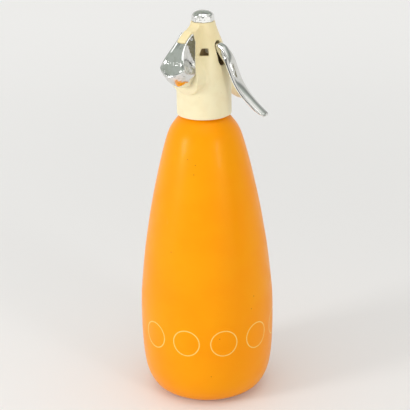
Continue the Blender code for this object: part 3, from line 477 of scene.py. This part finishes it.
def makeHead():
    rim, skirt = head["rim"], head["skirt"]
    outer = [(20.0, rim), (skirt - 0.3, rim), (skirt, rim + 0.3), (skirt, 262.0)]
    outer += [(p.x, p.y) for p in rounded([(r, z, 0) for r, z in head["crown"]], 28)]
    outer += [(0, head["top"]), (0, 264.5), (20.0, 264.5)]
    body = meshOf(spun(outer, 120, closed=True), "headMoulding")
    carve(body, podForm(), "UNION")
    carve(body, lugForm(), "UNION")
    bore = [(0, 262), (9.3, 262), (9.3, 291), (8.5, 291), (8.5, 307.7), (6.6, 307.7), (6.6, 315.7), (8.7, 315.7), (8.7, 317.4), (7.9, 317.4), (7.9, 322), (0, 322)]
    carve(body, spun(bore, 64))
    half = head["slotHalf"]
    slot = ((-half, 290.2), (-half + 1.6, 287.3), (half - 1.6, 287.3), (half, 290.2), (half, 303.8), (1.5, 306.6), (-1.5, 306.6), (-half, 303.8))
    turned = Matrix(((0, 0, 1, 0), (1, 0, 0, 0), (0, 1, 0, 0), (0, 0, 0, 1)))
    carve(body, slabFrom(slot, 5.5, 26, turned))
    at, level = head["windowX"], head["windowZ"]
    window = ((at - 3.5, level - 2.9), (at + 3.4, level - 2.9), (at + 2.2, level + 2.8), (at - 2.3, level + 2.8))
    for low, high in ((8.1, 26), (-26, -8.1)):
        carve(body, slabFrom(window, low, high, leverSide))
    socket = spun([(0, -13), (5.9, -13), (5.9, 6), (0, 6)], 48)
    bmesh.ops.transform(socket, matrix=socketPlace, verts=socket.verts)
    carve(body, socket)
    soften(body, head["voxel"], head["melt"])
    carve(body, pinRod(head["pinHole"], 8))
    return finish(body, creamPlastic, "head", ["head_housing"])


makeHead()


cap = {
    "across": 18.7,
    "low": 321.1,
    "top": 330.0,
    "corner": -54.0,
    "sides": 8,
    "dome": ((9.4, 320.4), (9.4, 321.5), (9.35, 323.8), (9.0, 325.4), (8.2, 326.8), (6.8, 327.9), (4.6, 328.8), (2.2, 329.3), (0, 329.45)),
}


def makeCap():
    bm = bmesh.new()
    place = Matrix.Translation((0, 0, cap["low"] * mm)) @ Matrix.Rotation(math.radians(cap["corner"]), 4, "Z")
    bmesh.ops.create_circle(bm, cap_ends=True, segments=cap["sides"], radius=cap["across"] / 2 * mm, matrix=place)
    grown = bmesh.ops.extrude_face_region(bm, geom=list(bm.faces))["geom"]
    moved = [g for g in grown if isinstance(g, bmesh.types.BMVert)]
    bmesh.ops.translate(bm, verts=moved, vec=(0, 0, (cap["top"] - cap["low"]) * mm))
    tidied(bm)
    upright = [e for e in bm.edges if abs(e.verts[0].co.z - e.verts[1].co.z) > 5 * mm]
    bmesh.ops.bevel(bm, geom=upright, offset=0.45 * mm, segments=3, profile=0.5, affect="EDGES", material=-1)
    thing = meshOf(tidied(bm), "capNut")
    dome = rounded([(r, z, 0) for r, z in cap["dome"]], 30)
    carve(thing, spun([(0, cap["low"] - 1)] + [(p.x, p.y) for p in dome], 96), "INTERSECT")
    stem = spun([(0, 310.4), (6.2, 310.4), (6.2, 317.5), (7.6, 317.5), (7.6, 321.6), (0, 321.6)], 56)
    carve(thing, stem, "UNION")
    carve(thing, spun([(0, 309), (3.9, 309), (3.9, 325.9), (0, 325.9)], 32))
    soften(thing, 0.18, 2)
    return finish(thing, capChrome, "head", ["cap_nut"])


makeCap()


lever = {
    "ridge": (
        (9.5, 301.8), (12.5, 304.4), (16.2, 305.0), (20.0, 303.6), (23.4, 300.6), (28.3, 294.0), (32.0, 285.2),
        (35.9, 276.2), (42.2, 268.0), (50.0, 260.8), (56.6, 255.8), (59.4, 253.9), (60.6, 252.6), (60.4, 251.4),
    ),
    "halfWidth": ((0.0, 3.7), (0.12, 3.95), (0.35, 4.6), (0.6, 5.0), (0.85, 4.7), (0.95, 4.2), (1.0, 3.2)),
    "depth": ((0.0, 7.2), (0.18, 7.2), (0.35, 5.4), (0.6, 3.7), (0.85, 2.9), (0.93, 2.2), (1.0, 0.9)),
    "flare": 0.14,
    "wall": 1.4,
    "stations": 44,
}


def tableAt(table, share):
    for (s0, v0), (s1, v1) in zip(table, table[1:]):
        if share <= s1:
            part = (share - s0) / (s1 - s0)
            part = part * part * (3 - 2 * part)
            return v0 + (v1 - v0) * part
    return table[-1][1]


def makeLever():
    line = rounded([(x, 0, z) for x, z in lever["ridge"]], lever["stations"])
    bm = bmesh.new()
    before = None
    for k, point in enumerate(line):
        share = k / lever["stations"]
        along = (line[min(k + 1, len(line) - 1)] - line[max(k - 1, 0)]).normalized()
        down = Vector((along.z, 0, -along.x))
        half, depth = tableAt(lever["halfWidth"], share), tableAt(lever["depth"], share)
        lean = lever["flare"] * depth * min(max((share - 0.16) / 0.14, 0), 1)
        wide = half + lean
        section = (
            (-wide, depth), (-half - lean * 0.6, depth * 0.6), (-half, depth * 0.3), (-half + 0.25, min(0.75, depth * 0.15)), (-half * 0.72, 0.3), (-half * 0.36, 0.06),
            (0, 0), (half * 0.36, 0.06), (half * 0.72, 0.3), (half - 0.25, min(0.75, depth * 0.15)),
            (half, depth * 0.3), (half + lean * 0.6, depth * 0.6), (wide, depth),
        )
        verts = [bm.verts.new((point + Vector((0, y, 0)) + down * d) * mm) for y, d in section]
        row = [bm.edges.new(pair) for pair in zip(verts, verts[1:])]
        if before:
            bmesh.ops.bridge_loops(bm, edges=before + row)
        before = row
    bmesh.ops.recalc_face_normals(bm, faces=bm.faces)
    thing = meshOf(bm, "leverHandle")
    thick = thing.modifiers.new("wall", "SOLIDIFY")
    thick.thickness = lever["wall"] * mm
    thick.offset = -1
    subdivision = thing.modifiers.new("rounding", "SUBSURF")
    subdivision.levels = subdivision.render_levels = 2
    bake(thing)
    boss = slabFrom(
        ((1.6, 302.0), (7.0, 303.6), (12.0, 303.4), (14.4, 301.0), (14.0, 297.0), (8.6, 296.2), (2.2, 298.0), (0.0, 298.1),
         (-1.4, 298.7), (-2.0, 300.0), (-1.4, 301.3), (0, 302.0)), -3.7, 3.7, leverSide
    )
    bmesh.ops.bevel(boss, geom=list(boss.edges), offset=0.25 * mm, segments=2, profile=0.5, affect="EDGES", material=-1)
    carve(thing, boss, "UNION")
    carve(thing, slabFrom(((-6, 290), (5.2, 290), (5.2, 310), (-6, 310)), -2.6, 2.6, leverSide))
    return finish(thing, leverChrome, "lever", ["lever"], 40)


makeLever()


spout = {
    "line": ((9.0, 286.8), (14.0, 281.6), (24.0, 272.0), (38.6, 260.0), (48.0, 252.9), (55.6, 247.9)),
    "radius": ((0.0, 10.6), (0.25, 9.2), (0.55, 7.4), (0.8, 6.3), (0.93, 5.8), (0.98, 5.3), (1.0, 4.7)),
    "bore": 2.5,
}


def makeSpout():
    steps = 40
    line = rounded([(0, y, z) for y, z in spout["line"]], steps)
    rings = []
    for k, point in enumerate(line):
        along = (line[min(k + 1, steps)] - line[max(k - 1, 0)]).normalized()
        up = Vector((1, 0, 0)).cross(along)
        radius = tableAt(spout["radius"], k / steps)
        rings.append([
            (point + (Vector((1, 0, 0)) * math.cos(a) + up * math.sin(a)) * radius) * mm
            for a in (fullTurn * i / 48 for i in range(48))
        ])
    end = line[-1]
    along = (line[-1] - line[-2]).normalized()
    up = Vector((1, 0, 0)).cross(along)
    for radius, out in ((4.0, 0.35), (3.2, 0.45), (spout["bore"], 0.3), (spout["bore"], -4.0)):
        rings.append([
            (end + along * out + (Vector((1, 0, 0)) * math.cos(a) + up * math.sin(a)) * radius) * mm
            for a in (fullTurn * i / 48 for i in range(48))
        ])
    thing = meshOf(lofted(rings), "spoutBeak")
    carve(thing, spun([(0, 262), (9.6, 262), (9.6, 300), (0, 300)], 64))
    return finish(thing, creamPlastic, "head", ["spout"], 50)


makeSpout()


holder = {
    "tip": (47.6, 285.3),
    "up": (-0.65, 0.76),
    "out": (0.76, 0.65),
    # along the dish from its lower tip: half width, bulge out of the plane
    "rim": (
        (0.0, 0.0, 0.0), (0.5, 3.0, 0.0), (1.7, 5.8, 0.0), (4.2, 8.9, 0.1), (6.6, 11.0, -0.2), (8.3, 11.8, -0.3), (10.6, 11.2, 0.4),
        (14.5, 9.5, 1.7), (20.8, 7.3, 2.5), (25.9, 6.0, 2.3), (30.6, 5.4, 1.7), (36.1, 5.4, 0.7), (40.0, 5.8, -0.6),
    ),
    "crest": (22.0, 2.3),
    "fall": 1.7,
    # on the pod's face: half width, height
    "back": (
        (0.0, 272.4), (3.4, 272.9), (6.4, 274.6), (8.6, 277.2), (10.2, 280.6), (11.0, 284.2), (10.6, 287.4), (9.8, 291.5),
        (9.0, 295.5), (8.3, 299.8), (7.6, 304.0), (7.2, 308.0), (7.0, 312.2),
    ),
    "land": 1.5,
    "dish": 0.7,
    "lip": (0.45, -0.25),
    "hollow": 0.3,
    "belly": 2.2,
    "voxel": 0.3,
    "pin": (23.5, 311.5),
    "pinHalf": 5.5,
    "pinRadius": 1.1,
}


def podFaceAt(z):
    return 31.0 - 0.27 * (z - 263.5) + 0.5


def holderRings():
    tip, up, out = Vector(holder["tip"]), Vector(holder["up"]), Vector(holder["out"])
    steps = 30
    rim, back = [], []
    for p in rounded([(w, along, bulge) for along, w, bulge in holder["rim"]], steps):
        spot = tip + up * p.y + out * p.z
        rim.append(Vector((p.x, -spot.x, spot.y)))
    for p in rounded([(w, z, 0) for w, z in holder["back"]], steps):
        back.append(Vector((p.x, -podFaceAt(p.y), p.y)))
    outward = Vector((0, -out.x, out.y))
    across = 8

    def closedRing(half):
        # the right side, a straight top, then the left side back down
        top = [Vector((half[-1].x * (1 - 2 * i / across), half[-1].y, half[-1].z)) for i in range(1, across)]
        left = [Vector((-p.x, p.y, p.z)) for p in half[::-1]][:-1]
        return half + top + left

    middle = Vector((0, -(tip + up * 12.5).x, (tip + up * 12.5).y))
    rings = []
    for share in (0.06, 0.2, 0.36, 0.52, 0.66, 0.78, 0.88, 0.95, 1.0):
        half = []
        for k, p in enumerate(rim):
            inner = Vector((p.x * (1 - holder["land"] / 9.0), p.y, p.z)).lerp(middle, holder["land"] / 16.0)
            proud = (inner - middle).dot(outward)
            level = middle + (inner - outward * proud - middle) * share
            along = Vector((-level.y, level.z)) - tip
            crestAt, crestRise = holder["crest"]
            past = along.dot(up) / crestAt
            if past < 1:
                rise = crestRise * math.sin(math.pi / 2 * max(past, 0)) ** 2
            else:
                rise = crestRise * (1 - holder["fall"] * (past - 1) ** 2)
            rise += (proud - rise) * share ** 4 + holder["lip"][0] * share ** 3
            half.append(level + outward * (rise - holder["dish"] * (1 - share ** 3)))
        rings.append(closedRing(half))
    corner = 13
    for t in (0.0, 0.06, 0.16, 0.3, 0.45, 0.6, 0.75, 0.88, 1.0):
        half = []
        for k, (p, q) in enumerate(zip(rim, back)):
            spot = (p + outward * holder["lip"][1]).lerp(q, t)
            swell = math.sin(math.pi * t)
            if k <= corner:
                part = max(math.cos(math.pi / 2 * k / corner), 0) ** 0.7
                spot += Vector((0, -0.45, -0.89)) * holder["belly"] * swell * part
            else:
                part = math.sin(math.pi / 2 * min((k - corner) / 5, 1)) * min((steps - k + 4) / 14, 1)
                spot.x -= holder["hollow"] * swell * part
            half.append(spot)
        rings.append(closedRing(half))
    return rings


def makeHolder():
    thing = meshOf(lofted([[p * mm for p in ring] for ring in holderRings()]), "chargerHolder")
    soften(thing, holder["voxel"], 1)
    atR, atZ = holder["pin"]
    gap = [(atR + 6.3 * math.cos(math.radians(a)), atZ + 6.3 * math.sin(math.radians(a))) for a in range(-120, 125, 10)]
    carve(thing, slabFrom(gap + [(0, gap[-1][1]), (0, gap[0][1])], -4.1, 4.1, chargerSide))
    trim = [(60, 258), (60, 325), (atR, 325), (atR - 2.6, 316.0), (atR - 3.2, 313.0), (atR - 3.4, 311.0)]
    trim += [(podFaceAt(308.2), 308.2), (podFaceAt(258), 258)]
    carve(thing, slabFrom(trim, -18, 18, chargerSide), "INTERSECT")
    bore = spun([(0, -2), (6.0, -2), (6.0, 10.6), (4.4, 12.4), (0, 12.4)], 48)
    bmesh.ops.transform(bore, matrix=socketPlace, verts=bore.verts)
    carve(thing, bore)
    soften(thing, holder["voxel"], 4)
    carve(thing, pinRod(holder["pinRadius"] + 0.05, 8))
    finish(thing, castChrome, "holder", ["charger_holder"])
    half = holder["pinHalf"]
    radius = holder["pinRadius"]
    rows = [(0, -half), (radius - 0.4, -half), (radius - 0.1, -half + 0.2), (radius, -half + 0.5)]
    rows += [(r, -z) for r, z in rows[::-1]]
    pin = spun(rows, 40)
    place = Matrix.Translation((0, -atR * mm, atZ * mm)) @ Matrix.Rotation(math.pi / 2, 4, "Y")
    bmesh.ops.transform(pin, matrix=place, verts=pin.verts)
    finish(meshOf(pin, "holderPin"), turnedSteel, "head", ["holder_pin"], 40)


makeHolder()


carried = {
    "neck_gasket": blackRubber, "neck_collar": plainAluminium, "cap_washer": blackRubber, "valve_body": turnedBrass,
    "stem_guide": turnedBrass, "stem_seal": blackRubber, "valve_stem": turnedSteel, "valve_seal": blackRubber,
    "spring_seat": turnedBrass, "valve_spring": springSteel, "dip_tube": milkyTube, "dip_tube_nut": turnedBrass,
    "level_tube": milkyTube, "lever_pin": turnedSteel, "lever_pin_clip_left": springSteel,
    "lever_pin_clip_right": springSteel, "spout_liner": turnedSteel, "spout_nozzle": turnedSteel,
    "socket_insert": turnedBrass, "piercing_pin": turnedSteel, "charger_seal": blackRubber, "gas_filter": springSteel,
    "check_ball": blackRubber, "holder_pad": blackRubber,
}
for name, material in carried.items():
    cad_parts[name].material_slots[0].material = material
print("inner parts finished", len(carried))


stage = {
    "tone": (0.80, 0.795, 0.78),
    "roomTone": (0.62, 0.617, 0.61),
    "backTone": (0.82, 0.815, 0.80),
    "bands": (
        (0.50, (0.80, 0.79, 0.77)), (0.68, (0.74, 0.74, 0.72)), (0.735, (0.26, 0.27, 0.26)), (0.77, (0.30, 0.32, 0.30)),
        (0.80, (0.46, 0.50, 0.46)), (0.87, (0.44, 0.49, 0.44)), (0.91, (0.22, 0.24, 0.22)), (0.95, (0.30, 0.31, 0.30)),
    ),
    "gleam": (0.95, 0.95, 0.93),
    "veil": (0.46, 0.50, 0.46),
    "floorLift": (0.07, 0.27),
    "size": 24.0,
    "cameraAngle": -54.0,
}


def makeFloor():
    bm = bmesh.new()
    bmesh.ops.create_grid(bm, x_segments=4, y_segments=4, size=stage["size"] / 2)
    floor = meshOf(bm, "studioFloor")
    material, tree, shader = newFinish("floorPaper", stage["tone"], 0.55, 0.0, Specular_IOR_Level=0.25)
    cloud = noiseOf(tree, 1.6, 2.0)
    light = stage["tone"]
    dark = tuple(c * 0.985 for c in light)
    tree.links.new(blendColor(tree, cloud, light, dark), shader.inputs["Base Color"])
    path = node(tree, "LightPath")
    seen = calc(tree, "MAXIMUM", path.outputs["Is Camera Ray"], path.outputs["Is Glossy Ray"])
    shader.inputs["Emission Color"].default_value = (1.0, 0.995, 0.985, 1)
    away = node(tree, "VectorMath", {0: tree.nodes["where"].outputs["Object"]}, operation="LENGTH").outputs["Value"]
    lift = ramp(tree, away, 0.1, 1.6, *stage["floorLift"])
    tree.links.new(calc(tree, "MULTIPLY", seen, lift), shader.inputs["Emission Strength"])
    floor.data.materials.append(material)


def makeWorld():
    world = bpy.data.worlds.new("studioWorld")
    bpy.context.scene.world = world
    world.use_nodes = True
    tree = world.node_tree
    back = tree.nodes["Background"]
    path = node(tree, "LightPath")
    # what polished metal mirrors: a pale room with dim bands above and a bright upper right
    split = node(tree, "SeparateXYZ", {0: node(tree, "TexCoord").outputs["Generated"]})
    height = calc(tree, "MULTIPLY", calc(tree, "ADD", split.outputs[2], 1.0), 0.5)
    bands = node(tree, "ValToRGB", {"Fac": height})
    stops = bands.color_ramp.elements
    stops[0].position, stops[0].color = 0.0, (0.80, 0.79, 0.77, 1)
    stops[1].position, stops[1].color = 1.0, (0.75, 0.75, 0.74, 1)
    for spot, tone in stage["bands"]:
        stop = stops.new(spot)
        stop.color = (*tone, 1)
    gleam = calc(tree, "MULTIPLY", ramp(tree, split.outputs[0], 0.10, 0.24), ramp(tree, split.outputs[2], 0.60, 0.72))
    mirrored = blendColor(tree, gleam, bands.outputs[0], stage["gleam"])
    veil = calc(tree, "MULTIPLY", ramp(tree, split.outputs[0], -0.4, -0.2, 1.0, 0.0), ramp(tree, split.outputs[2], 0.28, 0.40))
    veil = calc(tree, "MULTIPLY", veil, ramp(tree, split.outputs[2], 0.78, 0.86, 1.0, 0.0))
    mirrored = blendColor(tree, veil, mirrored, stage["veil"])
    room = blendColor(tree, path.outputs["Is Glossy Ray"], stage["roomTone"], mirrored)
    seen = blendColor(tree, path.outputs["Is Camera Ray"], room, stage["backTone"])
    tree.links.new(seen, back.inputs["Color"])
    back.inputs["Strength"].default_value = 1.0


def addSoftbox(name, turn, rise, away, width, tall, power, color=(1, 1, 1)):
    # turn is measured from the camera's side, to the right; rise is above the horizon
    angle = math.radians(stage["cameraAngle"] + turn)
    lift = math.radians(rise)
    target = Vector((0, 0, 0.18))
    spot = target + away * Vector((math.cos(lift) * math.cos(angle), math.cos(lift) * math.sin(angle), math.sin(lift)))
    lamp = bpy.data.lights.new(name, "AREA")
    lamp.shape = "RECTANGLE"
    lamp.size = width
    lamp.size_y = tall
    lamp.energy = power
    lamp.color = color
    thing = bpy.data.objects.new(name, lamp)
    bpy.context.scene.collection.objects.link(thing)
    thing.location = spot
    thing.rotation_euler = (target - spot).to_track_quat("-Z", "Y").to_euler()
    return thing


def addCard(name, turn, rise, away, width, tall, tone):
    # a dim card that only polished surfaces mirror
    angle = math.radians(stage["cameraAngle"] + turn)
    lift = math.radians(rise)
    target = Vector((0, 0, 0.3))
    spot = target + away * Vector((math.cos(lift) * math.cos(angle), math.cos(lift) * math.sin(angle), math.sin(lift)))
    bm = bmesh.new()
    bmesh.ops.create_grid(bm, x_segments=1, y_segments=1, size=0.5)
    place = Matrix.LocRotScale(spot, (target - spot).to_track_quat("-Z", "Y"), Vector((width, tall, 1)))
    bmesh.ops.transform(bm, matrix=place, verts=bm.verts)
    card = meshOf(bm, name)
    material, tree, shader = newFinish(name + "Paper", (0.02, 0.02, 0.02), 0.9, 0.0, Specular_IOR_Level=0.0)
    cloud = noiseOf(tree, 6.0, 2.0)
    shade = blendColor(tree, cloud, tone, tuple(c * 0.8 for c in tone))
    tree.links.new(shade, shader.inputs["Emission Color"])
    shader.inputs["Emission Strength"].default_value = 1.0
    card.data.materials.append(material)
    card.visible_camera = card.visible_diffuse = card.visible_shadow = card.visible_transmission = False


makeFloor()
makeWorld()
addCard("dimCardLeft", -52, -14, 0.75, 0.16, 0.5, (0.05, 0.055, 0.05))
addCard("dimCardRight", 62, -14, 0.75, 0.16, 0.5, (0.05, 0.055, 0.05))
addCard("dimCardBack", 80, 4, 1.0, 0.64, 0.36, (0.22, 0.20, 0.12))
addCard("dimCardFront", 18, 21, 0.9, 0.46, 0.13, (0.05, 0.05, 0.045))
addSoftbox("windowLeft", -62, 16, 1.5, 0.34, 0.42, 8)
addSoftbox("windowRight", 38, 16, 1.5, 0.26, 0.40, 3.5)
addSoftbox("ceilingPanel", -20, 78, 1.8, 1.6, 1.6, 9)

cameraData = bpy.data.cameras.new("photoCamera")
cameraData.lens = 123.0
cameraData.sensor_width = 36.0
cameraData.shift_x = -0.00178
camera = bpy.data.objects.new("photoCamera", cameraData)
bpy.context.scene.collection.objects.link(camera)
camera.matrix_world = (
    Matrix.Translation((0.6413, -0.8826, 0.584))
    @ Matrix.Rotation(math.radians(36.0), 4, "Z")
    @ Matrix.Rotation(math.radians(68.94), 4, "X")
    @ Matrix.Rotation(math.radians(-0.87), 4, "Z")
)
bpy.context.scene.camera = camera
bpy.context.scene.view_settings.view_transform = "Standard"
print("stage set")
